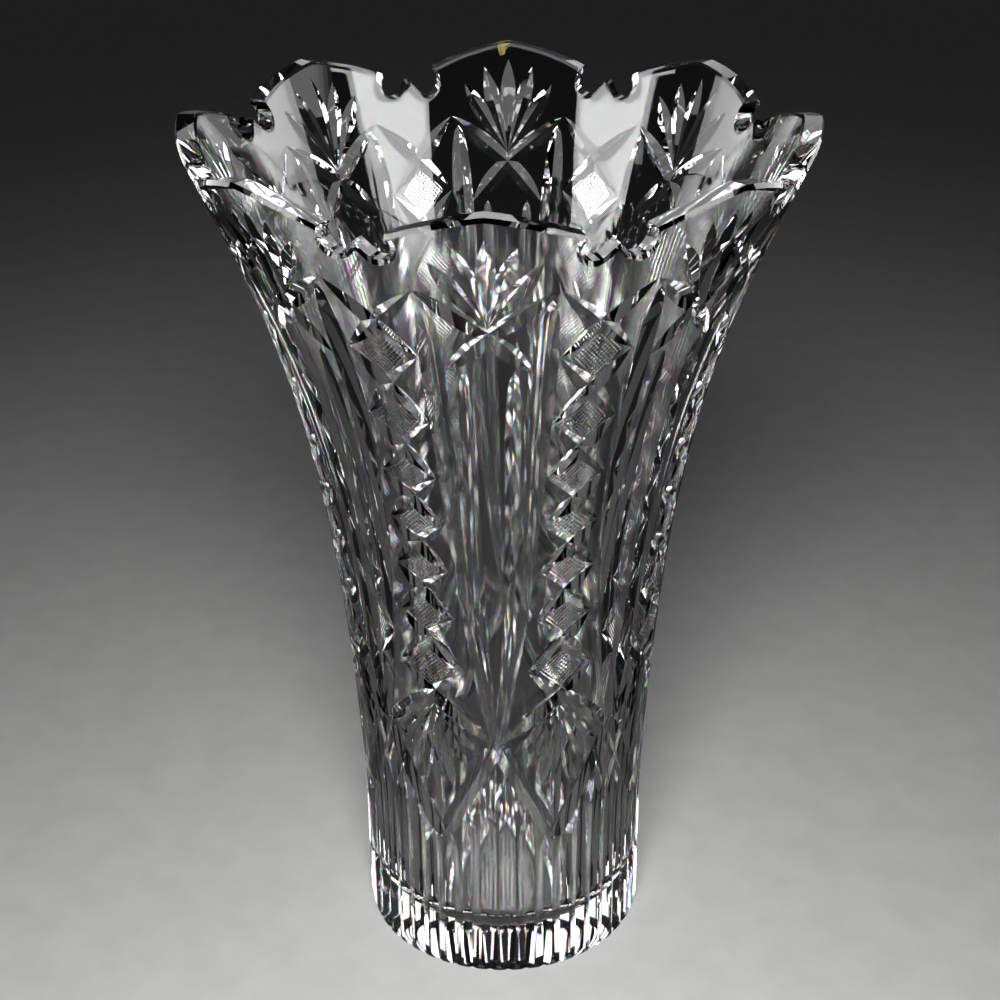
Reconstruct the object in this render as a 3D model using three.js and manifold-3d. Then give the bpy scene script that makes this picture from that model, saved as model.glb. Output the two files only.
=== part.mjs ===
// A tall, flared vase of cut lead crystal on a fluted foot, with the remains of its
// gold foil label. Millimetres, +Z up. The origin is the centre of the underside.
//
// The cut pattern repeats in eight equal panels. Each panel is centred under one lobe
// of the rim, and a column of diamonds runs down each boundary between two panels.
// A place on the outer surface is [angle, height]: degrees round the axis from the
// middle of the front panel, which faces -Y, and millimetres above the underside.

import * as THREE from 'three';
import * as BufferGeometryUtils from 'three/addons/utils/BufferGeometryUtils.js';
import Module from 'manifold-3d';

const wasm = await Module();
wasm.setup();

// Body
const HEIGHT = 305;
const FOOT_RADIUS = 51.5;
const RIM_RADIUS = 103.5;
const FLARE_START = 55;
const FOOT_CHAMFER = 0.7;
const FOOT_CHAMFER_HEIGHT = 3;
const WALL_THICKNESS = 9.5;
const RIM_THICKNESS = 7.2;
const FLOOR_HEIGHT = 12;
const FLOOR_CORNER_RADIUS = 12;
const OUTSIDE_SEGMENTS = 40;
const OUTSIDE_ROWS = 8;
const PAST_RIM = 1.03;
const INSIDE_SEGMENTS = 32;
const INSIDE_ROWS = 6;
const INSIDE_TOP = HEIGHT + 6;
const CORNER_STEPS = 3;

// Rim: one lobe over each panel, with a notch of two round scallops between lobes.
// A pointed cusp with straight sides stands between the two scallops.
const PANELS = 8;
const PANEL_ANGLE = 360 / PANELS;
const COLUMN_ANGLE = PANEL_ANGLE / 2;
const LOBE_RISE = 7.6;
const LOBE_BULGE = 0.75;
const SCALLOP_RADIUS = 5.2;
const SCALLOP_CENTRE = 7.4;
const SCALLOP_DROP = 3.6;
const CUSP_DROP = 3.5;
const RIM_CUT_DEPTH = 40;
const RIM_CUT_RISE = 12;
const RIM_CUT_OVERLAP = 3;

// Grooves: each is ground by a wheel with a V edge, deepest where it is widest
const GROOVE_HALF_ANGLE = THREE.MathUtils.degToRad(57);
const GROOVE_OVERSHOOT = 1.5;
const GROOVE_LIFT = 0.05;

// Cross under the fan of each panel, between two peaks
const PEAK = [13.2, 279.7];
const CROSS_ARM_END = [9.3, 250.4];
const CROSS_DEPTH = 2.1;

// Diamonds in each column, from the top down
const DIAMOND_NODES = [268.1, 242.2, 218.5, 199.2, 181.5, 163.2, 143.4, 120.4];
const DIAMOND_HALF_WIDTHS = [11.5, 10.3, 9.5, 9.2, 9.4, 9.8, 11.7];
const DIAMOND_DEPTH = 2;
const DIAMOND_CORNER_DEPTH = 0.3;

// Blades: a pair in each panel runs down to one crossing
const CROSSING_Z = 101.8;
const BLADE_ANGLE = 11.8;
const BLADE_TOP_Z = 276.5;
const BLADE_DEPTH = 2.8;
const BLADE_BEND = 3;
const BLADE_STEPS = 4;

// Zigzag band, from each crossing down to a valley under each column, and the flutes
const VALLEY_Z = 58.9;
const ZIGZAG_DEPTH = 1.9;
const ZIGZAG_END_SHARE = 0.3;
const FLUTES = 48;
const FLUTE_DEPTH = 1.1;
const FLUTE_TOP_CLEARANCE = 5;

// Foil label remnant, outside the back lobe, hanging from the rim
const LABEL_ANGLE = 180.8;
const LABEL_TOP_Z = 303.4;
const LABEL_WIDTH = 5.4;
const LABEL_DROP = 4.6;
const LABEL_THICKNESS = 0.3;
const LABEL_GAP = 0.35;

// Outside of the flare, from the straight foot up to the lip
const flare = new THREE.CubicBezierCurve(
  new THREE.Vector2(FOOT_RADIUS, FLARE_START),
  new THREE.Vector2(FOOT_RADIUS + 6.7, 0.68 * HEIGHT),
  new THREE.Vector2(FOOT_RADIUS + 24.7, 0.795 * HEIGHT),
  new THREE.Vector2(RIM_RADIUS, HEIGHT),
);

// Outside radius at a height, found by halving the stretch of the flare it lies in
function outerRadius(z) {
  const halvings = 40;
  if (z <= FLARE_START) {
    return FOOT_RADIUS;
  }
  let low = 0;
  let high = 1.1;
  for (let i = 0; i < halvings; i += 1) {
    const middle = (low + high) / 2;
    if (flare.getPoint(middle).y < z) {
      low = middle;
    } else {
      high = middle;
    }
  }
  return flare.getPoint(low).x;
}

// The wall thins evenly from the body up to the lip
function innerRadius(z) {
  const up = THREE.MathUtils.smoothstep(z, CROSSING_Z, HEIGHT);
  return outerRadius(z) - THREE.MathUtils.lerp(WALL_THICKNESS, RIM_THICKNESS, up);
}

function surfacePoint([angle, z]) {
  const turn = THREE.MathUtils.degToRad(angle);
  const radius = outerRadius(z);
  return new THREE.Vector3(radius * Math.sin(turn), -radius * Math.cos(turn), z);
}

function surfaceNormal([angle, z]) {
  const turn = THREE.MathUtils.degToRad(angle);
  const slope = outerRadius(z + 0.5) - outerRadius(z - 0.5);
  return new THREE.Vector3(Math.sin(turn), -Math.cos(turn), -slope).normalize();
}

function toSolid(geometry) {
  geometry.deleteAttribute('normal');
  geometry.deleteAttribute('uv');
  const merged = BufferGeometryUtils.mergeVertices(geometry, 1e-4);
  return new wasm.Manifold(new wasm.Mesh({
    numProp: 3,
    vertProperties: Float32Array.from(merged.attributes.position.array),
    triVerts: Uint32Array.from(merged.index.array),
  }));
}

function toGeometry(solid) {
  const mesh = solid.getMesh();
  const geometry = new THREE.BufferGeometry();
  geometry.setAttribute('position', new THREE.BufferAttribute(mesh.vertProperties, 3));
  geometry.setIndex(new THREE.BufferAttribute(mesh.triVerts, 1));
  geometry.computeVertexNormals();
  return geometry;
}

// A profile of (radius, height) points turned about the Z axis
function turned(profile, segments) {
  const geometry = new THREE.LatheGeometry(profile, segments);
  geometry.rotateX(Math.PI / 2);
  return toSolid(geometry);
}

function outsideBlank() {
  const profile = [
    new THREE.Vector2(0, 0),
    new THREE.Vector2(FOOT_RADIUS - FOOT_CHAMFER, 0),
    new THREE.Vector2(FOOT_RADIUS, FOOT_CHAMFER_HEIGHT),
  ];
  for (let i = 0; i <= OUTSIDE_ROWS; i += 1) {
    profile.push(flare.getPoint((PAST_RIM * i) / OUTSIDE_ROWS));
  }
  profile.push(new THREE.Vector2(0, flare.getPoint(PAST_RIM).y));
  return turned(profile, OUTSIDE_SEGMENTS);
}

function insideBlank() {
  const rise = (INSIDE_TOP - FLARE_START) / INSIDE_ROWS;
  const profile = [new THREE.Vector2(0, FLOOR_HEIGHT)];
  for (let i = 0; i <= CORNER_STEPS; i += 1) {
    const turn = (i / CORNER_STEPS) * (Math.PI / 2);
    profile.push(new THREE.Vector2(
      innerRadius(FLARE_START) - FLOOR_CORNER_RADIUS * (1 - Math.sin(turn)),
      FLOOR_HEIGHT + FLOOR_CORNER_RADIUS * (1 - Math.cos(turn)),
    ));
  }
  for (let i = 0; i <= INSIDE_ROWS; i += 1) {
    const z = FLARE_START + i * rise;
    profile.push(new THREE.Vector2(innerRadius(z), z));
  }
  profile.push(new THREE.Vector2(0, INSIDE_TOP));
  return turned(profile, INSIDE_SEGMENTS);
}

// The space above the rim from one lobe's apex to the next, seen along the radius
function rimWaste(angle) {
  const shoulderZ = HEIGHT - LOBE_RISE;
  const scallopZ = shoulderZ - SCALLOP_DROP;
  const halfChord = RIM_RADIUS * Math.sin(THREE.MathUtils.degToRad(COLUMN_ANGLE));
  const edge = halfChord + RIM_CUT_OVERLAP;
  const edgeZ = HEIGHT + 0.1 * RIM_CUT_OVERLAP;
  const topZ = HEIGHT + RIM_CUT_RISE;
  const cornerTurn = Math.asin(SCALLOP_DROP / SCALLOP_RADIUS);
  const cornerX = SCALLOP_CENTRE + SCALLOP_RADIUS * Math.cos(cornerTurn);
  const cuspTurn = Math.acos(SCALLOP_RADIUS / SCALLOP_CENTRE);
  const bulgeX = (halfChord + cornerX) / 2;
  const bulgeZ = shoulderZ + LOBE_BULGE * LOBE_RISE;
  const outline = new THREE.Shape();
  outline.moveTo(edge, topZ);
  outline.lineTo(-edge, topZ);
  outline.lineTo(-edge, edgeZ);
  outline.lineTo(-halfChord, HEIGHT);
  outline.quadraticCurveTo(-bulgeX, bulgeZ, -cornerX, shoulderZ);
  outline.absarc(
    -SCALLOP_CENTRE, scallopZ, SCALLOP_RADIUS, Math.PI - cornerTurn, 2 * Math.PI - cuspTurn);
  outline.lineTo(0, shoulderZ - CUSP_DROP);
  outline.absarc(
    SCALLOP_CENTRE, scallopZ, SCALLOP_RADIUS, Math.PI + cuspTurn, 2 * Math.PI + cornerTurn);
  outline.quadraticCurveTo(bulgeX, bulgeZ, halfChord, HEIGHT);
  outline.lineTo(edge, edgeZ);
  const geometry = new THREE.ExtrudeGeometry(outline, {
    depth: RIM_CUT_DEPTH,
    bevelEnabled: false,
    curveSegments: 4,
  });
  geometry.translate(0, 0, RIM_RADIUS - 0.8 * RIM_CUT_DEPTH);
  geometry.rotateX(Math.PI / 2);
  geometry.rotateZ(THREE.MathUtils.degToRad(angle));
  return toSolid(geometry);
}

// A groove's waste: a three-sided prism bent along path(t), t from 0 to 1, with one
// edge depth(t) below the surface. Nothing is cut where the depth is below zero.
function grooveWaste(path, depth, steps) {
  const geometry = new THREE.CylinderGeometry(1, 1, 1, 3, steps);
  const position = geometry.attributes.position;
  for (let i = 0; i < position.count; i += 1) {
    const t = THREE.MathUtils.clamp(0.5 - position.getY(i), 0, 1);
    const across = position.getX(i) / Math.sin(Math.PI / 3);
    const up = (1 - position.getZ(i)) / 1.5;
    const along = surfacePoint(path(t + 1e-3)).sub(surfacePoint(path(t - 1e-3)));
    const normal = surfaceNormal(path(t));
    const side = new THREE.Vector3().crossVectors(along, normal).normalize();
    const tall = depth(t) + GROOVE_OVERSHOOT;
    const point = surfacePoint(path(t))
      .addScaledVector(side, across * tall * Math.tan(GROOVE_HALF_ANGLE))
      .addScaledVector(normal, up * tall - depth(t));
    position.setXYZ(i, point.x, point.y, point.z);
  }
  return toSolid(geometry);
}

// A straight groove between two places, deepest at its middle
function lensGroove(from, to, deepest, steps = 2) {
  const path = (t) => [
    THREE.MathUtils.lerp(from[0], to[0], t),
    THREE.MathUtils.lerp(from[1], to[1], t),
  ];
  const depth = (t) => deepest * (1 - (2 * t - 1) ** 2) - GROOVE_LIFT;
  return grooveWaste(path, depth, steps);
}

// A blade starts in a point, keeps its depth, and bends in to the panel's crossing
function bladeGroove(panel, side) {
  const path = (t) => [
    panel + side * BLADE_ANGLE * (1 - Math.abs(t) ** BLADE_BEND),
    THREE.MathUtils.lerp(BLADE_TOP_Z, CROSSING_Z, t),
  ];
  const depth = (t) => BLADE_DEPTH * Math.min(1, 7 * t) * (1 - 0.5 * t) - GROOVE_LIFT;
  return grooveWaste(path, depth, BLADE_STEPS);
}

function crossGroove(panel, side) {
  const from = [panel - side * PEAK[0], PEAK[1]];
  const to = [panel + side * CROSS_ARM_END[0], CROSS_ARM_END[1]];
  return lensGroove(from, to, CROSS_DEPTH);
}

// Where the side corner of a column's diamond lies, counted from the top. Corner 0
// is the panel's peak, and the last one is the panel's crossing.
function diamondCorner(column, side, index) {
  if (index === 0) {
    return [column + side * (COLUMN_ANGLE - PEAK[0]), PEAK[1]];
  }
  if (index > DIAMOND_HALF_WIDTHS.length) {
    return [column + side * COLUMN_ANGLE, CROSSING_Z];
  }
  const z = (DIAMOND_NODES[index - 1] + DIAMOND_NODES[index]) / 2;
  const spread = THREE.MathUtils.radToDeg(DIAMOND_HALF_WIDTHS[index - 1] / outerRadius(z));
  return [column + side * spread, z];
}

// One of the two grooves that wind down a column. It turns at every side corner, where
// it is shallow, and crosses its partner at every node, where it is deep.
function diamondGroove(column, side) {
  const stops = [];
  DIAMOND_NODES.forEach((node, index) => {
    const facing = index % 2 === 0 ? side : -side;
    stops.push([...diamondCorner(column, facing, index), DIAMOND_CORNER_DEPTH]);
    stops.push([column, node, DIAMOND_DEPTH]);
  });
  const lastNode = DIAMOND_NODES[DIAMOND_NODES.length - 1];
  const halfwayZ = (lastNode + CROSSING_Z) / 2;
  stops.push([column + (side * COLUMN_ANGLE) / 2, halfwayZ, DIAMOND_DEPTH / 2]);
  stops.push([column + side * COLUMN_ANGLE, CROSSING_Z, DIAMOND_CORNER_DEPTH]);
  const last = stops.length - 1;
  const blend = (t, i) => {
    const along = THREE.MathUtils.clamp(t, 0, 1) * last;
    const stop = Math.min(Math.floor(along), last - 1);
    return THREE.MathUtils.lerp(stops[stop][i], stops[stop + 1][i], along - stop);
  };
  const path = (t) => [blend(t, 0), blend(t, 1)];
  const depth = (t) => blend(t, 2);
  return grooveWaste(path, depth, last);
}

function zigzagGroove(panel, side) {
  const path = (t) => [
    panel + side * COLUMN_ANGLE * t,
    THREE.MathUtils.lerp(CROSSING_Z, VALLEY_Z, t),
  ];
  const depth = (t) => ZIGZAG_DEPTH * Math.min(1, ZIGZAG_END_SHARE + t, ZIGZAG_END_SHARE + 1 - t);
  return grooveWaste(path, depth, 2);
}

// A flute runs up from below the foot to a point under the zigzag band
function fluteGroove(panel, offset) {
  const share = Math.abs(offset) / COLUMN_ANGLE;
  const topZ = THREE.MathUtils.lerp(CROSSING_Z, VALLEY_Z, share) - FLUTE_TOP_CLEARANCE;
  const path = (t) => [panel + offset, THREE.MathUtils.lerp(-2, topZ, t)];
  const depth = (t) => FLUTE_DEPTH * Math.min(1, 5 * (1 - t)) - GROOVE_LIFT;
  return grooveWaste(path, depth, 2);
}

function vaseSolid() {
  const waste = [insideBlank()];
  const fluteStep = 360 / FLUTES;
  for (let i = 0; i < PANELS; i += 1) {
    const panel = i * PANEL_ANGLE;
    const column = panel + COLUMN_ANGLE;
    waste.push(rimWaste(column));
    for (const side of [-1, 1]) {
      waste.push(diamondGroove(column, side));
      waste.push(crossGroove(panel, side));
      waste.push(bladeGroove(panel, side));
      waste.push(zigzagGroove(panel, side));
      for (let offset = fluteStep / 2; offset < COLUMN_ANGLE; offset += fluteStep) {
        waste.push(fluteGroove(panel, side * offset));
      }
    }
  }
  return outsideBlank().subtract(wasm.Manifold.union(waste));
}

// A torn scrap of foil, lying against the outside of the lobe. It hangs down in a ragged
// tongue at one side and thins out to a sliver at the other.
function labelGeometry() {
  const half = LABEL_WIDTH / 2;
  const outline = new THREE.Shape();
  outline.moveTo(half, 0);
  outline.lineTo(-half, 0);
  outline.lineTo(-half, -0.1 * LABEL_DROP);
  outline.lineTo(-0.4 * half, -0.3 * LABEL_DROP);
  outline.lineTo(0, -0.46 * LABEL_DROP);
  outline.lineTo(0.2 * half, -0.94 * LABEL_DROP);
  outline.lineTo(0.6 * half, -LABEL_DROP);
  return new THREE.ExtrudeGeometry(outline, { depth: LABEL_THICKNESS, bevelEnabled: false });
}

function glassMaterial() {
  return new THREE.MeshStandardMaterial({
    color: 0xe9eeef,
    roughness: 0.04,
    metalness: 0,
    transparent: true,
    opacity: 0.4,
  });
}

function foilMaterial() {
  return new THREE.MeshStandardMaterial({ color: 0xc2a24c, roughness: 0.35, metalness: 1 });
}

const vase = new THREE.Mesh(toGeometry(vaseSolid()), glassMaterial());
vase.name = 'vase_body';

const label = new THREE.Mesh(labelGeometry(), foilMaterial());
label.name = 'foil_label';
const labelPlace = [LABEL_ANGLE, LABEL_TOP_Z];
const labelNormal = surfaceNormal([LABEL_ANGLE, LABEL_TOP_Z - LABEL_DROP / 2]);
const labelSide = new THREE.Vector3(0, 0, 1).cross(labelNormal).normalize();
const labelUp = new THREE.Vector3().crossVectors(labelNormal, labelSide);
label.quaternion.setFromRotationMatrix(
  new THREE.Matrix4().makeBasis(labelSide, labelUp, labelNormal));
label.position.copy(surfacePoint(labelPlace)).addScaledVector(labelNormal, LABEL_GAP);

const cutCrystalVase = new THREE.Group();
cutCrystalVase.name = 'cut_crystal_vase';
cutCrystalVase.add(vase, label);

export default cutCrystalVase;
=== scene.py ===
"""A cut lead crystal vase with the remains of its gold foil label, on a pale floor.

The cut pattern is ground into one wedge, half a panel wide, which is then repeated round
the axis by mirror images. A place on the outer surface is (angle, height): degrees from
the middle of a panel, and millimetres above the underside.
"""

import math

import bmesh
import bpy
import numpy as np
from mathutils import Matrix, Vector, noise


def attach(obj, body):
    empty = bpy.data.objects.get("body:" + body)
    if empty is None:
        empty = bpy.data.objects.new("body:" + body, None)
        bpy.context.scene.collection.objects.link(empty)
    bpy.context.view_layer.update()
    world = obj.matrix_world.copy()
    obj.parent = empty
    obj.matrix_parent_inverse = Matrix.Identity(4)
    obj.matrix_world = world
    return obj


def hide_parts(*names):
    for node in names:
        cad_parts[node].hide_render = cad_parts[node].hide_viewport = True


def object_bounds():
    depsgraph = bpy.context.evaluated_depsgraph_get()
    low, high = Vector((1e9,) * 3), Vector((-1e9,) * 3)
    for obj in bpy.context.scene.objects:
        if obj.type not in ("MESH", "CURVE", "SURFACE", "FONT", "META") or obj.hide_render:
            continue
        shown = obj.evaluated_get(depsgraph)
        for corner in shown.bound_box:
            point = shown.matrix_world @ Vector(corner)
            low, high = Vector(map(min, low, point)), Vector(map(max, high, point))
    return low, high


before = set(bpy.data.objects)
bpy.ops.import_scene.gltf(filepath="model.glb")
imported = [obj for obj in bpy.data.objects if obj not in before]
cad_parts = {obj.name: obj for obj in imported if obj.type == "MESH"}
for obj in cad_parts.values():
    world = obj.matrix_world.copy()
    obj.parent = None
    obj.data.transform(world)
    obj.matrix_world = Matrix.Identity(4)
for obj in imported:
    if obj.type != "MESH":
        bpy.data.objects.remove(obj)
cad_low, cad_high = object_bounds()

# The vase is worked out in millimetres and degrees, from the height and width of the CAD model.
# The camera, the lights and the floor are in metres and degrees.
MM = 0.001
HEIGHT = cad_high.z / MM
RIM_RADIUS = cad_high.x / MM

# Body. Two pulls bend the flare, each so far out from the foot and at a part of the height, and
# it runs a little past the rim.
FOOT_RADIUS = 51.5
FOOT_CHAMFER = 0.7
FOOT_CHAMFER_HEIGHT = 2.5
FLARE_START = 55.0
FLARE_PULLS = ((6.7, 0.68), (24.7, 0.795))
FLARE_POINTS = 4000
FLARE_END = 1.1
WALL_THICKNESS = 9.5
RIM_THICKNESS = 7.2
FLOOR_HEIGHT = 12.0
FLOOR_CORNER_RADIUS = 12.0
PANELS = 8
PANEL_ANGLE = 360.0 / PANELS
COLUMN_ANGLE = PANEL_ANGLE / 2

# How finely the blown blank of half a panel is divided, and how far it stands over the rim
WEDGE_COLUMNS = 9
OUTSIDE_ROWS = 34
INSIDE_ROWS = 24
CORNER_ROWS = 9
BLANK_TRIM = 4.0

# Rim: a lobe over each panel and a notch of two round scallops between lobes
LOBE_RISE = 7.6
LOBE_BULGE = 0.75
SCALLOP_RADIUS = 5.2
SCALLOP_CENTRE = 7.4
SCALLOP_DROP = 3.6
CUSP_DROP = 3.5
OUTER_BEVEL = 1.2
OUTER_BEVEL_SLOPE = 0.35
INNER_BEVEL = 0.5
RIM_TOOL_REACH = 8.0
RIM_TOOL_SPREAD = 20.0
RIM_TOOL_TOP = 12.0

# Grooves, ground by wheels with V edges. The wheel stands out of the surface by the overshoot,
# and its ends lift off it. A groove within MIRROR_REACH of a wedge's side is also cut mirrored.
GROOVE_HALF_ANGLE = math.radians(57)
FLUTE_HALF_ANGLE = math.radians(65)
HATCH_HALF_ANGLE = math.radians(50)
OVERSHOOT = 0.8
HATCH_OVERSHOOT = 0.06
LIFT = 0.05
MIRROR_REACH = 3.5

# Fan and cross at the top of each panel. A cross arm starts a part of its length behind the
# focus, and a cut is widest at a part of its length.
PEAK = (13.2, 279.7)
FOCUS_Z = 264.2
CROSS_ARM_END = (9.3, 250.4)
CROSS_DEPTH = 2.1
CROSS_START = 0.3
CROSS_WIDEST = 0.52
FAN_FOCUS_Z = 267.0
FAN_TIPS = ((0.0, 298.0), (5.2, 295.4), (9.7, 290.0))
FAN_DEPTH = 2.0
FAN_WIDEST = 0.6

# Diamonds down each column, with a crosshatched face. The last side corner is past the crossing
# by so many degrees and millimetres. A hatch line is at full depth over a part of its length.
DIAMOND_NODES = (268.1, 242.2, 218.5, 199.2, 181.5, 163.2, 143.4, 120.4)
DIAMOND_HALF_WIDTHS = (11.5, 10.3, 9.5, 9.2, 9.4, 9.8, 11.7)
DIAMOND_DEPTH = 2.1
LAST_CORNER_PAST = (3.0, 2.5)
HATCH_PITCH = 1.15
HATCH_REACH = 0.66
HATCH_FULL_DEPTH = 0.94
HATCH_DEPTH = 0.25

# Blades, crossing, zigzag band and lower fan. A blade's steps crowd together at its top, where
# its point is, and it thins by a part of its depth. The zigzag runs a part of its length past
# both ends.
OUTER_BLADE = {"angle": 11.8, "top": 276.5, "depth": 2.8, "bend": 3.0}
INNER_BLADE = {"angle": 5.3, "top": 251.0, "depth": 1.9, "bend": 4.0}
BLADE_STEPS = 28
BLADE_CROWDING = 1.3
BLADE_POINT = 0.16
BLADE_THINNING = 0.45
CROSSING_Z = 101.8
VALLEY_Z = 58.9
ZIGZAG_DEPTH = 2.1
ZIGZAG_PAST = 0.03
ZIGZAG_END_DEPTH = 0.35
ZIGZAG_END_SLOPE = 12
LOWER_FOCUS_Z = 116.5
LOWER_TIPS = ((0.0, 61.0), (6.1, 81.0), (11.9, 91.0), (16.4, 97.5))
LOWER_FAN_DEPTH = 1.3
LOWER_FAN_WIDEST = 0.72

# Flutes round the foot
FLUTES = 48
FLUTE_DEPTH = 1.5
FLUTE_CLEARANCE = 5.0
FLUTE_START_Z = -2.0
FLUTE_FADE = 16.0

# When vertices count as lying on a side of the wedge or on a blown surface, when a face counts
# as facing the same way as that surface, and which edges stay crisp
SIDE_TOLERANCE = 1e-4
SURFACE_TOLERANCE = 0.05
SAME_WAY = 0.998
CRISP_ANGLE = math.radians(14)
WELD_DISTANCE = 2e-6
SHORTEST_EDGE = 1e-6

# How strongly lead crystal bends red, green and blue light, and its unevenly dull polish
CRYSTAL_IORS = (1.538, 1.55, 1.563)
CRYSTAL_TINTS = ((1.36, 0.82, 0.82), (0.82, 1.36, 0.82), (0.82, 0.82, 1.36))
POLISH_SCALE = 45.0
POLISH_DETAIL = 4.0
POLISH_RANGE = (0.5, 0.8)
DULLEST_POLISH = 0.02

# Foil scrap outside the back lobe, wide along the rim and torn off to a tongue. Each torn edge is
# given as parts of the way down, then places across from -1 to 1.
LABEL_ANGLE = 180.8
LABEL_TOP = 303.6
LABEL_WIDTH = 6.0
LABEL_DROP = 4.4
LABEL_GAP = 0.2
LABEL_THICKNESS = 0.08
LABEL_ROWS = 25
LABEL_COLUMNS = 19
LABEL_RIGHT = ((0.0, 0.1, 0.3, 0.46, 0.94, 1.0), (-1.0, -0.98, -0.7, -0.3, 0.05, 0.4))
LABEL_LEFT = ((0.0, 0.3, 0.7, 1.0), (1.0, 0.93, 0.72, 0.62))
TEAR_SCALE = 9.0
TEAR_RIGHT = 0.1
TEAR_LEFT = 0.06
CREASE_SCALE = 0.9
CREASE_HEIGHT = 0.12
FOLD_ANGLE = math.radians(50)
FOIL_TONES = ((0.40, 0.32, 0.10), (0.72, 0.60, 0.22))
MOTTLE_RANGE = (0.35, 0.65)

# Floor, just under the vase, with its colour as seen directly and in the glass. In the glass it
# shows painted shade: a dark colour, as if a dark card kept the light off it
FLOOR_GAP = 0.0003
FLOOR_REACH = 4.0
FLOOR_TONES = ((0.60, 0.60, 0.59), (0.64, 0.64, 0.63))
# Painted shade: the dark colour the floor shows in reflections and refractions
FLOOR_PAINTED_SHADE_IN_GLASS = (0.09, 0.09, 0.09)

# Camera: distance and height in heights of the vase, then how it is turned
CAMERA_DISTANCE = 1.9062
CAMERA_HEIGHT = 1.5216
CAMERA_TURN = 2.3
CAMERA_TILT = 27.09
CAMERA_ROLL = -0.444
CAMERA_LENS = 67.0
CAMERA_SENSOR = 36.0
CAMERA_SHIFT = (-0.0011, 0.0031)

# Softboxes: degrees round from the front, degrees up, distance, width and height, and watts
ABOVE = (0.0, 88.0, 0.9, (0.5, 0.5), 1.6)
BACK = (180.0, 40.0, 0.9, (0.5, 0.5), 1.4)
SIDE = (55.0, 28.0, 0.85, (0.42, 0.65), 6.5)
EDGE = (121.0, 20.0, 0.8, (0.46, 0.8), 3.8)
FILL = (147.0, 3.0, 0.9, (0.7, 0.5), 0.13)
FLOOR_LIGHT = (0.0, 60.0, 0.8, (0.35, 0.35), 2.4)
VASE_TARGET = (0.0, 0.0, 0.18)
FLOOR_TARGET = (0.0, -0.3, 0.0)
FLOOR_LIGHT_SPREAD = 80
STUDIO_DARK = (0.02, 0.02, 0.021)


def bezier(points, count, end):
    """Points of a cubic Bezier curve, from its start to past its end."""
    t = np.linspace(0.0, end, count)[:, None]
    a, b, c, d = (np.array(p, float) for p in points)
    return a * (1 - t) ** 3 + 3 * b * t * (1 - t) ** 2 + 3 * c * t**2 * (1 - t) + d * t**3


FLARE = bezier(
    (
        (FOOT_RADIUS, FLARE_START),
        *((FOOT_RADIUS + out, part * HEIGHT) for out, part in FLARE_PULLS),
        (RIM_RADIUS, HEIGHT),
    ),
    FLARE_POINTS,
    FLARE_END,
)


def outer_radius(z):
    """The radius of the outside of the wall at a height."""
    return np.interp(z, FLARE[:, 1], FLARE[:, 0], left=FOOT_RADIUS)


def inner_radius(z):
    """The radius of the inside, for a wall that thins from the crossing up to the rim."""
    up = np.clip((np.asarray(z) - CROSSING_Z) / (HEIGHT - CROSSING_Z), 0.0, 1.0)
    up = up * up * (3 - 2 * up)
    return outer_radius(z) - (WALL_THICKNESS + (RIM_THICKNESS - WALL_THICKNESS) * up)


def cylindrical(angle, radius, z):
    """Millimetres from an angle in degrees round the axis, from the front at -Y."""
    turn = np.radians(angle)
    return np.stack([radius * np.sin(turn), -radius * np.cos(turn), z + 0 * turn], axis=-1)


def surface(angle, z):
    """The point of the outer surface at an angle and a height."""
    return cylindrical(angle, outer_radius(z), z)


def surface_normal(angle, z):
    """Which way the outer surface faces at an angle and a height."""
    slope = outer_radius(z + 0.5) - outer_radius(z - 0.5)
    normal = cylindrical(angle, np.ones_like(z), -slope)
    return normal / np.linalg.norm(normal, axis=-1, keepdims=True)


def unit(vectors):
    """The vectors with their lengths made one."""
    return vectors / np.linalg.norm(vectors, axis=-1, keepdims=True)


def make_object(name, vertices, faces):
    """A mesh object in the scene, from lists of points and faces."""
    mesh = bpy.data.meshes.new(name)
    mesh.from_pydata(vertices, [], faces)
    mesh.update()
    piece = bpy.data.objects.new(name, mesh)
    bpy.context.scene.collection.objects.link(piece)
    return piece


def outline_of_wall():
    """The wall's cut face as (radius, height), from the axis out, up, in and down again."""
    outside = [(FOOT_RADIUS - FOOT_CHAMFER, 0.0), (FOOT_RADIUS, FOOT_CHAMFER_HEIGHT)]
    top = HEIGHT + BLANK_TRIM
    for z in np.linspace(FOOT_CHAMFER_HEIGHT, top, OUTSIDE_ROWS)[1:]:
        outside.append((float(outer_radius(z)), float(z)))
    inside = []
    corner_top = FLOOR_HEIGHT + FLOOR_CORNER_RADIUS
    for z in np.linspace(top, corner_top, INSIDE_ROWS):
        inside.append((float(inner_radius(z)), float(z)))
    corner_x = float(inner_radius(corner_top)) - FLOOR_CORNER_RADIUS
    for turn in np.linspace(0.0, math.pi / 2, CORNER_ROWS)[1:]:
        radius = corner_x + FLOOR_CORNER_RADIUS * math.cos(turn)
        inside.append((radius, corner_top - FLOOR_CORNER_RADIUS * math.sin(turn)))
    return [(0.0, 0.0), *outside, *inside, (0.0, FLOOR_HEIGHT)]


def wedge_blank():
    """A closed wedge of the blown blank, from the middle of a panel to its edge."""
    outline = outline_of_wall()
    angles = np.linspace(0.0, COLUMN_ANGLE, WEDGE_COLUMNS + 1)
    vertices = []
    rows = []
    for radius, z in outline:
        if radius == 0.0:
            rows.append([len(vertices)] * len(angles))
            vertices.append((0.0, 0.0, z))
            continue
        rows.append(list(range(len(vertices), len(vertices) + len(angles))))
        vertices.extend(cylindrical(angles, np.full_like(angles, radius), np.full_like(angles, z)))
    faces = []
    for row, above in zip(rows, rows[1:]):
        for i in range(len(angles) - 1):
            corners = [row[i], row[i + 1], above[i + 1], above[i]]
            faces.append(list(dict.fromkeys(corners)))
    faces.append([row[0] for row in rows])
    faces.append([row[-1] for row in reversed(rows)])
    return make_object("vase", vertices, faces)


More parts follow.
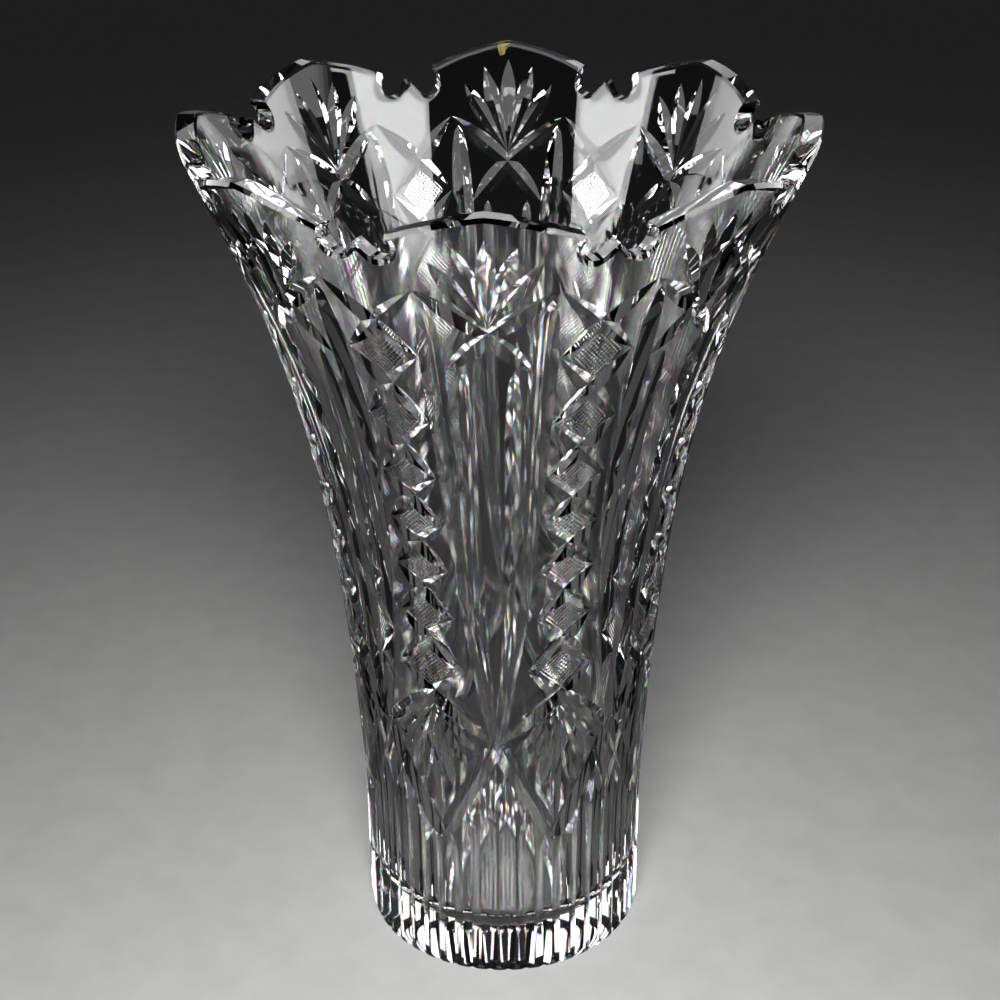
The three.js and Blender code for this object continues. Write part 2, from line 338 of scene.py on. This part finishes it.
def prism(centre, side, normal, depth, half_angle, overshoot):
    """A three-sided prism along the points of centre, one edge depth below them."""
    tall = (depth + overshoot)[:, None]
    spread = side * tall * math.tan(half_angle)
    low = centre - normal * depth[:, None]
    left = low + normal * tall - spread
    right = low + normal * tall + spread
    count = len(centre)
    vertices = np.concatenate([low, left, right])
    faces = [[0, 2 * count, count], [count - 1, 2 * count - 1, 3 * count - 1]]
    for a, b in ((0, 2), (2, 1), (1, 0)):
        for i in range(count - 1):
            low_a, low_b = a * count + i, b * count + i
            faces.append([low_a, low_a + 1, low_b + 1, low_b])
    return vertices, faces


def groove(angle, z, depth, half_angle=GROOVE_HALF_ANGLE, overshoot=OVERSHOOT):
    """The waste of one groove along the surface, from arrays of angle, height and depth."""
    centre = surface(angle, z)
    along = unit(np.gradient(centre, axis=0))
    normal = surface_normal(angle, z)
    side = unit(np.cross(along, normal))
    return prism(centre, side, normal, depth, half_angle, overshoot)


def straight(start, end, steps):
    """Places along a straight line in space between two places on the surface."""
    t = np.linspace(0.0, 1.0, steps + 1)
    a, b = surface(np.array(start[0]), start[1]), surface(np.array(end[0]), end[1])
    line = a + (b - a) * t[:, None]
    return t, np.degrees(np.arctan2(line[:, 0], -line[:, 1])), line[:, 2]


def arch(t, widest=0.5):
    """One at widest, falling off to nothing at both ends of t from 0 to 1."""
    before = 1 - ((t - widest) / widest) ** 2
    after = 1 - ((t - widest) / (1 - widest)) ** 2
    return np.where(t < widest, before, after)


def lens(start, end, deepest, widest=0.5, steps=10):
    """A cut that is pointed at both ends, as (angles, heights, depths)."""
    t, angle, z = straight(start, end, steps)
    return angle, z, deepest * arch(t, widest) - LIFT


def cross_cuts():
    """Four arms out of the focus, each starting a little way behind it."""
    cuts = []
    for tip in (PEAK, CROSS_ARM_END):
        start = (-CROSS_START * tip[0], FOCUS_Z - CROSS_START * (tip[1] - FOCUS_Z))
        cuts.append(lens(start, tip, CROSS_DEPTH, CROSS_WIDEST))
    return cuts


def fan_cuts():
    """The middle petal of a panel's fan and two beside it."""
    return [lens((0.0, FAN_FOCUS_Z), tip, FAN_DEPTH, FAN_WIDEST, 14) for tip in FAN_TIPS]


def diamond_corner(side, index):
    """The side corner of a diamond; 0 is the peak, and the last one is past the crossing."""
    if index == 0:
        return COLUMN_ANGLE + side * (COLUMN_ANGLE - PEAK[0]), PEAK[1]
    if index > len(DIAMOND_HALF_WIDTHS):
        past_angle, past_z = LAST_CORNER_PAST
        return COLUMN_ANGLE + side * (COLUMN_ANGLE + past_angle), CROSSING_Z - past_z
    z = (DIAMOND_NODES[index - 1] + DIAMOND_NODES[index]) / 2
    half = DIAMOND_HALF_WIDTHS[index - 1] / float(outer_radius(z))
    return COLUMN_ANGLE + side * math.degrees(half), z


def diamond_cuts():
    """One slanting cut per row of side corners. Its mirror image crosses it."""
    cuts = []
    for index in range(len(DIAMOND_NODES)):
        cuts.append(lens(diamond_corner(1, index), diamond_corner(-1, index + 1), DIAMOND_DEPTH))
    return cuts


def blade_cut(blade):
    """A long curved cut from its blunt top, thinning down to the crossing."""
    t = np.linspace(0.0, 1.0, BLADE_STEPS + 1) ** BLADE_CROWDING
    angle = blade["angle"] * (1 - t ** blade["bend"])
    z = blade["top"] + (CROSSING_Z - blade["top"]) * t
    point = np.sqrt(np.clip(1 - (1 - np.clip(t / BLADE_POINT, 0, 1)) ** 2, 0, 1))
    return angle, z, blade["depth"] * point * (1 - BLADE_THINNING * t) - LIFT


def zigzag_cut():
    """The zigzag's line from the crossing to its valley, run a little past both."""
    t, angle, z = straight((0.0, CROSSING_Z), (COLUMN_ANGLE, VALLEY_Z), 10)
    angle = angle + (angle[-1] - angle[0]) * ZIGZAG_PAST * (2 * t - 1)
    z = z + (z[-1] - z[0]) * ZIGZAG_PAST * (2 * t - 1)
    fade = np.clip(ZIGZAG_END_SLOPE * np.minimum(t, 1 - t), ZIGZAG_END_DEPTH, 1.0)
    return angle, z, ZIGZAG_DEPTH * fade


def lower_fan_cuts():
    """Half of the fan that hangs below a column of diamonds."""
    focus = (COLUMN_ANGLE, LOWER_FOCUS_Z)
    cuts = []
    for spread, z in LOWER_TIPS:
        cuts.append(lens(focus, (COLUMN_ANGLE - spread, z), LOWER_FAN_DEPTH, LOWER_FAN_WIDEST, 12))
    return cuts


def flute_cuts():
    """Upright flutes from below the foot up to the zigzag."""
    cuts = []
    step = 360.0 / FLUTES
    for angle in np.arange(step / 2, COLUMN_ANGLE, step):
        top = CROSSING_Z + (VALLEY_Z - CROSSING_Z) * angle / COLUMN_ANGLE - FLUTE_CLEARANCE
        t = np.linspace(0.0, 1.0, 10)
        z = FLUTE_START_Z + (top - FLUTE_START_Z) * t
        fade = np.sqrt(np.clip((top - z) / FLUTE_FADE, 0, 1))
        cuts.append((np.full_like(t, angle), z, FLUTE_DEPTH * fade - LIFT))
    return cuts


def mirror_images(cut):
    """The groove with its images in both sides of the wedge, as far as they reach it."""
    angle, z, depth = cut
    images = []
    for turned in (angle, -angle, 2 * COLUMN_ANGLE - angle):
        reaches = turned.max() > -MIRROR_REACH and turned.min() < COLUMN_ANGLE + MIRROR_REACH
        known = any(np.allclose(np.sort(turned), np.sort(other[0])) for other in images)
        if reaches and not known:
            images.append((turned, z, depth))
    return images


def hatch_lines(index, across):
    """Fine parallel grooves over a diamond's face, along one pair of its sides."""
    z_middle = (DIAMOND_NODES[index] + DIAMOND_NODES[index + 1]) / 2
    half_high = (DIAMOND_NODES[index] - DIAMOND_NODES[index + 1]) / 2
    half_wide = DIAMOND_HALF_WIDTHS[index]
    between_sides = 2 * half_wide * half_high / math.hypot(half_wide, half_high)
    gaps = round(HATCH_REACH * between_sides / HATCH_PITCH)
    along = np.array([-1.0, -HATCH_FULL_DEPTH, 0.0, HATCH_FULL_DEPTH, 1.0]) * HATCH_REACH
    depth = np.where(np.abs(along) == HATCH_REACH, -LIFT, HATCH_DEPTH)
    lines = []
    for offset in np.linspace(-HATCH_REACH, HATCH_REACH, gaps + 1):
        x = half_wide * (offset + along) / 2
        z = z_middle + half_high * (offset - along) / 2 * across
        lines.append((COLUMN_ANGLE + np.degrees(x / outer_radius(z)), z, depth))
    return lines


def rim_outline():
    """(angle, height) from just past the apex of a lobe to just past the notch."""
    shoulder = HEIGHT - LOBE_RISE
    half_chord = RIM_RADIUS * math.radians(COLUMN_ANGLE)
    corner_turn = math.asin(SCALLOP_DROP / SCALLOP_RADIUS)
    corner = SCALLOP_CENTRE + SCALLOP_RADIUS * math.cos(corner_turn)
    t = np.linspace(0.0, 1.0, 13)[:, None]
    ends = np.array([[-half_chord, HEIGHT], [-corner, shoulder]])
    pull = np.array([-(half_chord + corner) / 2, shoulder + LOBE_BULGE * LOBE_RISE])
    lobe = ends[0] * (1 - t) ** 2 + 2 * pull * t * (1 - t) + ends[1] * t**2
    cusp_turn = math.acos(SCALLOP_RADIUS / SCALLOP_CENTRE)
    turn = np.linspace(math.pi - corner_turn, 2 * math.pi - cusp_turn, 15)[1:]
    arc_x = -SCALLOP_CENTRE + SCALLOP_RADIUS * np.cos(turn)
    arc_z = shoulder - SCALLOP_DROP + SCALLOP_RADIUS * np.sin(turn)
    cusp = [(0.0, shoulder - CUSP_DROP)]
    half = np.concatenate([lobe, np.stack([arc_x, arc_z], axis=-1), cusp])
    other_lobe = lobe[3:0:-1].copy()
    other_lobe[:, 0] = -2 * half_chord - other_lobe[:, 0]
    other_notch = half[-2:-7:-1] * (-1, 1)
    outline = np.concatenate([other_lobe, half, other_notch])
    return COLUMN_ANGLE + np.degrees(outline[:, 0] / RIM_RADIUS), outline[:, 1]


def rim_waste():
    """Everything above the rim, reaching down both edges far enough to bevel them."""
    angle, z = rim_outline()
    count = len(angle)
    evenly = np.linspace(angle[0], angle[-1], count)
    inner = inner_radius(z)
    outer = outer_radius(z)
    inside = inner - RIM_TOOL_REACH
    outside = np.full_like(z, RIM_RADIUS + RIM_TOOL_SPREAD)
    top = np.full_like(z, HEIGHT + RIM_TOOL_TOP)
    edge = outer - OUTER_BEVEL
    stations = (
        (angle, inside, z - RIM_TOOL_REACH - INNER_BEVEL),
        (angle, inner + INNER_BEVEL, z),
        (angle, edge, z),
        (angle, edge + OUTER_BEVEL_SLOPE * RIM_TOOL_REACH, z - RIM_TOOL_REACH),
        (evenly, outside, top),
        (evenly, inside, top),
    )
    last = count - 1
    faces = [
        [ring * count for ring in range(6)],
        [ring * count + last for ring in reversed(range(6))],
    ]
    for ring in range(6):
        here, after = ring * count, (ring + 1) % 6 * count
        for i in range(last):
            faces.append([here + i, here + i + 1, after + i + 1, after + i])
    return np.concatenate([cylindrical(*station) for station in stations]), faces


def cut_away(body, wastes):
    """Grinds a list of (vertices, faces) out of the body, all in one pass."""
    shift = 0
    vertices = []
    faces = []
    for points, sides in wastes:
        vertices.extend(points)
        faces.extend([[corner + shift for corner in side] for side in sides])
        shift += len(points)
    tool = make_object("waste", vertices, faces)
    modifier = body.modifiers.new("grind", "BOOLEAN")
    modifier.operation = "DIFFERENCE"
    modifier.solver = "MANIFOLD"
    modifier.object = tool
    depsgraph = bpy.context.evaluated_depsgraph_get()
    ground = bpy.data.meshes.new_from_object(body.evaluated_get(depsgraph))
    body.modifiers.clear()
    old = body.data
    body.data = ground
    bpy.data.meshes.remove(old)
    tool_mesh = tool.data
    bpy.data.objects.remove(tool)
    bpy.data.meshes.remove(tool_mesh)


def cut_wedge():
    """Half a panel with all its cuts, the finest ground first."""
    wedge = wedge_blank()
    for index in range(len(DIAMOND_HALF_WIDTHS)):
        for across in (1, -1):
            lines = hatch_lines(index, across)
            cut_away(wedge, [groove(*line, HATCH_HALF_ANGLE, HATCH_OVERSHOOT) for line in lines])
    cuts = [*cross_cuts(), *fan_cuts(), *diamond_cuts(), zigzag_cut(), *lower_fan_cuts()]
    cuts += [blade_cut(INNER_BLADE), blade_cut(OUTER_BLADE)]
    for cut in cuts:
        for image in mirror_images(cut):
            cut_away(wedge, [groove(*image)])
    cut_away(wedge, [groove(*cut, FLUTE_HALF_ANGLE) for cut in flute_cuts()])
    cut_away(wedge, [rim_waste()])
    return wedge


def whole_from_wedge(wedge):
    """The whole vase as vertices and faces: the wedge without its two cut sides, repeated."""
    mesh = wedge.data
    points = np.array([vertex.co for vertex in mesh.vertices])
    edge = math.radians(COLUMN_ANGLE)
    far = points @ np.array([math.cos(edge), math.sin(edge), 0.0])
    on_middle = np.abs(points[:, 0]) < SIDE_TOLERANCE
    on_edge = np.abs(far) < SIDE_TOLERANCE
    kept = []
    for polygon in mesh.polygons:
        corners = list(polygon.vertices)
        if not (on_middle[corners].all() or on_edge[corners].all()):
            kept.append(corners)
    both = [(points, kept), (points * (-1, 1, 1), [corners[::-1] for corners in kept])]
    vertices = []
    faces = []
    for index in range(PANELS):
        turn = math.radians(index * PANEL_ANGLE)
        spin = np.array([
            [math.cos(turn), math.sin(turn), 0.0],
            [-math.sin(turn), math.cos(turn), 0.0],
            [0.0, 0.0, 1.0],
        ])
        for half, corner_lists in both:
            shift = len(vertices)
            vertices.extend(half @ spin)
            faces.extend([[corner + shift for corner in corners] for corners in corner_lists])
    return vertices, faces


def smooth_surfaces(piece):
    """Shades the blown surfaces smoothly and leaves every ground edge crisp."""
    mesh = piece.data
    mesh.shade_smooth()
    mesh.set_sharp_from_angle(angle=CRISP_ANGLE)
    points = np.array([vertex.co for vertex in mesh.vertices]) / MM
    radius = np.hypot(points[:, 0], points[:, 1])
    z = points[:, 2]
    angle = np.degrees(np.arctan2(points[:, 0], -points[:, 1]))
    blown = (z > FLOOR_HEIGHT + FLOOR_CORNER_RADIUS) & (z < HEIGHT + 1)
    ground = (z > FOOT_CHAMFER_HEIGHT) & (z < HEIGHT + 1)
    on_outside = ground & (np.abs(radius - outer_radius(z)) < SURFACE_TOLERANCE)
    on_inside = blown & (np.abs(radius - inner_radius(z)) < SURFACE_TOLERANCE)
    outward = surface_normal(angle, z)
    slope = inner_radius(z + 0.5) - inner_radius(z - 0.5)
    inward = -unit(cylindrical(angle, np.ones_like(z), -slope))
    normals = np.array([corner.vector for corner in mesh.corner_normals])
    for polygon in mesh.polygons:
        corners = list(polygon.vertices)
        for lies_on, normal in ((on_outside, outward), (on_inside, inward)):
            if lies_on[corners].all() and normal[corners[0]] @ polygon.normal > SAME_WAY:
                normals[list(polygon.loop_indices)] = normal[corners]
    mesh.normals_split_custom_set(normals)


def make_vase():
    """The whole vase in metres, welded, with its surfaces shaded."""
    wedge = cut_wedge()
    vertices, faces = whole_from_wedge(wedge)
    old = wedge.data
    bpy.data.objects.remove(wedge)
    bpy.data.meshes.remove(old)
    vase = make_object("cut_crystal", np.array(vertices) * MM, faces)
    welded = bmesh.new()
    welded.from_mesh(vase.data)
    bmesh.ops.remove_doubles(welded, verts=welded.verts, dist=WELD_DISTANCE)
    bmesh.ops.dissolve_degenerate(welded, edges=welded.edges, dist=SHORTEST_EDGE)
    bmesh.ops.triangulate(welded, faces=welded.faces)
    welded.to_mesh(vase.data)
    welded.free()
    smooth_surfaces(vase)
    return vase


def make_foil():
    """The foil scrap: a thin creased sheet that follows the glass, torn along its edges."""
    rows, columns = LABEL_ROWS, LABEL_COLUMNS
    down = np.repeat(np.linspace(0.0, 1.0, rows), columns)
    across = np.tile(np.linspace(0.0, 1.0, columns), rows)
    tear = np.array([noise.noise(Vector((TEAR_SCALE * d, 0.5, 0.0))) for d in down])
    right = np.interp(down, *LABEL_RIGHT) + TEAR_RIGHT * tear
    left = np.interp(down, *LABEL_LEFT) + TEAR_LEFT * tear
    x = (right + (left - right) * across) * LABEL_WIDTH / 2
    z = LABEL_TOP - LABEL_DROP * down
    angle = LABEL_ANGLE + np.degrees(x / outer_radius(z))
    spots = [Vector((CREASE_SCALE * a, CREASE_SCALE * b, 2.0)) for a, b in zip(x, z)]
    crease = np.abs(np.array([noise.noise(spot) for spot in spots]))
    away = surface_normal(angle, z) * (LABEL_GAP + CREASE_HEIGHT * crease)[:, None]
    low = surface(angle, z) + away
    high = low + surface_normal(angle, z) * LABEL_THICKNESS
    count = rows * columns
    faces = []
    for row in range(rows - 1):
        for column in range(columns - 1):
            a = row * columns + column
            c = a + columns
            faces.append([a, a + 1, c + 1, c])
            faces.append([count + a, count + c, count + c + 1, count + a + 1])
    edge = [*range(columns - 1), *range(columns - 1, count - 1, columns)]
    edge += [*range(count - 1, count - columns, -1), *range(count - columns, 0, -columns)]
    for a, b in zip(edge, [*edge[1:], edge[0]]):
        faces.append([a, count + a, count + b, b])
    foil = make_object("gold_foil_scrap", np.concatenate([low, high]) * MM, faces)
    tidied = bmesh.new()
    tidied.from_mesh(foil.data)
    bmesh.ops.recalc_face_normals(tidied, faces=tidied.faces)
    tidied.to_mesh(foil.data)
    tidied.free()
    foil.data.shade_smooth()
    foil.data.set_sharp_from_angle(angle=FOLD_ANGLE)
    return foil


def principled(name):
    """A new material, with its nodes, its links and its principled shader."""
    material = bpy.data.materials.new(name)
    material.use_nodes = True
    nodes = material.node_tree.nodes
    return material, nodes, material.node_tree.links, nodes["Principled BSDF"]


def mottled(nodes, links, scale, detail, tones):
    """A colour that drifts between two tones over the surface, at a scale per metre."""
    place = nodes.new("ShaderNodeTexCoord")
    cloud = nodes.new("ShaderNodeTexNoise")
    cloud.inputs["Scale"].default_value = scale
    cloud.inputs["Detail"].default_value = detail
    ramp = nodes.new("ShaderNodeValToRGB")
    for stop, position, tone in zip(ramp.color_ramp.elements, MOTTLE_RANGE, tones):
        stop.position = position
        stop.color = (*tone, 1.0)
    links.new(place.outputs["Object"], cloud.inputs["Vector"])
    links.new(cloud.outputs["Fac"], ramp.inputs["Fac"])
    return cloud, ramp


def crystal_material():
    """Clear lead crystal. It bends red, green and blue light by slightly different amounts,
    which gives the cuts their coloured fire, and its polish is a little duller in places."""
    material, nodes, links, shader = principled("lead_crystal")
    nodes.remove(shader)
    place = nodes.new("ShaderNodeTexCoord")
    cloud = nodes.new("ShaderNodeTexNoise")
    cloud.inputs["Scale"].default_value = POLISH_SCALE
    cloud.inputs["Detail"].default_value = POLISH_DETAIL
    polish = nodes.new("ShaderNodeMapRange")
    polish.inputs["From Min"].default_value = POLISH_RANGE[0]
    polish.inputs["From Max"].default_value = POLISH_RANGE[1]
    polish.inputs["To Max"].default_value = DULLEST_POLISH
    links.new(place.outputs["Object"], cloud.inputs["Vector"])
    links.new(cloud.outputs["Fac"], polish.inputs["Value"])
    glasses = []
    for tint, ior in zip(CRYSTAL_TINTS, CRYSTAL_IORS):
        glass = nodes.new("ShaderNodeBsdfGlass")
        glass.inputs["Color"].default_value = (*tint, 1.0)
        glass.inputs["IOR"].default_value = ior
        links.new(polish.outputs["Result"], glass.inputs["Roughness"])
        glasses.append(glass)
    pair = nodes.new("ShaderNodeMixShader")
    pair.inputs["Fac"].default_value = 1 / 2
    links.new(glasses[0].outputs["BSDF"], pair.inputs[1])
    links.new(glasses[1].outputs["BSDF"], pair.inputs[2])
    whole = nodes.new("ShaderNodeMixShader")
    whole.inputs["Fac"].default_value = 1 / 3
    links.new(pair.outputs["Shader"], whole.inputs[1])
    links.new(glasses[2].outputs["BSDF"], whole.inputs[2])
    links.new(whole.outputs["Shader"], nodes["Material Output"].inputs["Surface"])
    return material


def foil_material():
    """Gold-lacquered foil, dulled and worn through to bare metal in places."""
    material, nodes, links, shader = principled("gold_foil")
    cloud, ramp = mottled(nodes, links, 900.0, 6.0, FOIL_TONES)
    bump = nodes.new("ShaderNodeBump")
    bump.inputs["Strength"].default_value = 0.5
    bump.inputs["Distance"].default_value = 0.0001
    links.new(ramp.outputs["Color"], shader.inputs["Base Color"])
    links.new(cloud.outputs["Fac"], bump.inputs["Height"])
    links.new(bump.outputs["Normal"], shader.inputs["Normal"])
    shader.inputs["Metallic"].default_value = 0.8
    shader.inputs["Roughness"].default_value = 0.5
    return material


def floor_material():
    """A pale floor that shows dark in the glass: painted shade, as if a dark card kept its light
    off it.
    """
    material, nodes, links, shader = principled("pale_floor")
    ramp = mottled(nodes, links, 60.0, 5.0, FLOOR_TONES)[1]
    # Painted shade: any ray but a camera ray sees the floor in the dark colour, and camera rays
    # see the pale mottle
    path = nodes.new("ShaderNodeLightPath")
    shown = nodes.new("ShaderNodeMixRGB")
    shown.inputs["Color1"].default_value = (*FLOOR_PAINTED_SHADE_IN_GLASS, 1.0)
    links.new(path.outputs["Is Camera Ray"], shown.inputs["Fac"])
    links.new(ramp.outputs["Color"], shown.inputs["Color2"])
    links.new(shown.outputs["Color"], shader.inputs["Base Color"])
    shader.inputs["Roughness"].default_value = 0.7
    return material


def make_floor():
    """A wide flat floor just under the foot."""
    low = cad_low.z - FLOOR_GAP
    corners = []
    for x, y in ((-1, -1), (1, -1), (1, 1), (-1, 1)):
        corners.append((x * FLOOR_REACH, y * FLOOR_REACH, low))
    floor = make_object("floor", corners, [[0, 1, 2, 3]])
    floor.data.materials.append(floor_material())
    return floor


def make_camera():
    """A short telephoto from above the front, a little to the right of the front panel."""
    distance, height = CAMERA_DISTANCE * cad_high.z, CAMERA_HEIGHT * cad_high.z
    turn = math.radians(CAMERA_TURN)
    tilt = math.radians(CAMERA_TILT)
    roll = math.radians(CAMERA_ROLL)
    camera = bpy.data.cameras.new("camera")
    camera.lens = CAMERA_LENS
    camera.sensor_width = CAMERA_SENSOR
    camera.shift_x, camera.shift_y = CAMERA_SHIFT
    viewer = bpy.data.objects.new("camera", camera)
    bpy.context.scene.collection.objects.link(viewer)
    aim = Matrix.Rotation(turn, 4, "Z") @ Matrix.Rotation(math.pi / 2 - tilt, 4, "X")
    place = Matrix.Rotation(turn, 4, "Z") @ Vector((0.0, -distance, height))
    viewer.matrix_world = Matrix.Translation(place) @ aim @ Matrix.Rotation(roll, 4, "Z")
    bpy.context.scene.camera = viewer


def softbox(name, azimuth, elevation, distance, size, power, target=VASE_TARGET):
    """A soft light aimed at the target, placed by degrees round from the front and up."""
    light = bpy.data.lights.new(name, "AREA")
    light.shape = "RECTANGLE"
    light.size, light.size_y = size
    light.energy = power
    lamp = bpy.data.objects.new(name, light)
    bpy.context.scene.collection.objects.link(lamp)
    turn, rise = math.radians(azimuth), math.radians(elevation)
    flat = math.cos(rise)
    out = Vector((math.sin(turn) * flat, -math.cos(turn) * flat, math.sin(rise)))
    facing = (-out).to_track_quat("-Z", "Y").to_matrix().to_4x4()
    lamp.matrix_world = Matrix.Translation(Vector(target) + distance * out) @ facing
    return lamp


def make_lights(vase, foil, floor):
    """Softboxes flagged off the floor, so that they only light the vase, and a light over
    the floor in front of it, flagged off the vase."""
    vase_only = bpy.data.collections.new("vase_only")
    vase_only.objects.link(vase)
    vase_only.objects.link(foil)
    floor_only = bpy.data.collections.new("floor_only")
    floor_only.objects.link(floor)
    lamps = [softbox("above", *ABOVE), softbox("back", *BACK)]
    for side, name in ((-1, "left"), (1, "right")):
        for ending, (azimuth, *rest) in (("", SIDE), ("_edge", EDGE), ("_fill", FILL)):
            lamps.append(softbox(name + ending, side * azimuth, *rest))
    for lamp in lamps:
        lamp.light_linking.receiver_collection = vase_only
    pool = softbox("floor", *FLOOR_LIGHT, FLOOR_TARGET)
    pool.data.spread = math.radians(FLOOR_LIGHT_SPREAD)
    pool.light_linking.receiver_collection = floor_only
    world = bpy.data.worlds.new("studio")
    world.use_nodes = True
    background = world.node_tree.nodes["Background"]
    background.inputs["Color"].default_value = (*STUDIO_DARK, 1.0)
    background.inputs["Strength"].default_value = 1.0
    bpy.context.scene.world = world


def dress(piece, material, node):
    """Gives a piece its material, hangs it under the root body and hides the CAD node it stands
    for.
    """
    piece.data.materials.append(material)
    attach(piece, "root")
    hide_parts(node)
    return piece


make_camera()
vase = dress(make_vase(), crystal_material(), "vase_body")
foil = dress(make_foil(), foil_material(), "foil_label")
make_lights(vase, foil, make_floor())

bpy.context.scene.view_settings.view_transform = "Standard"
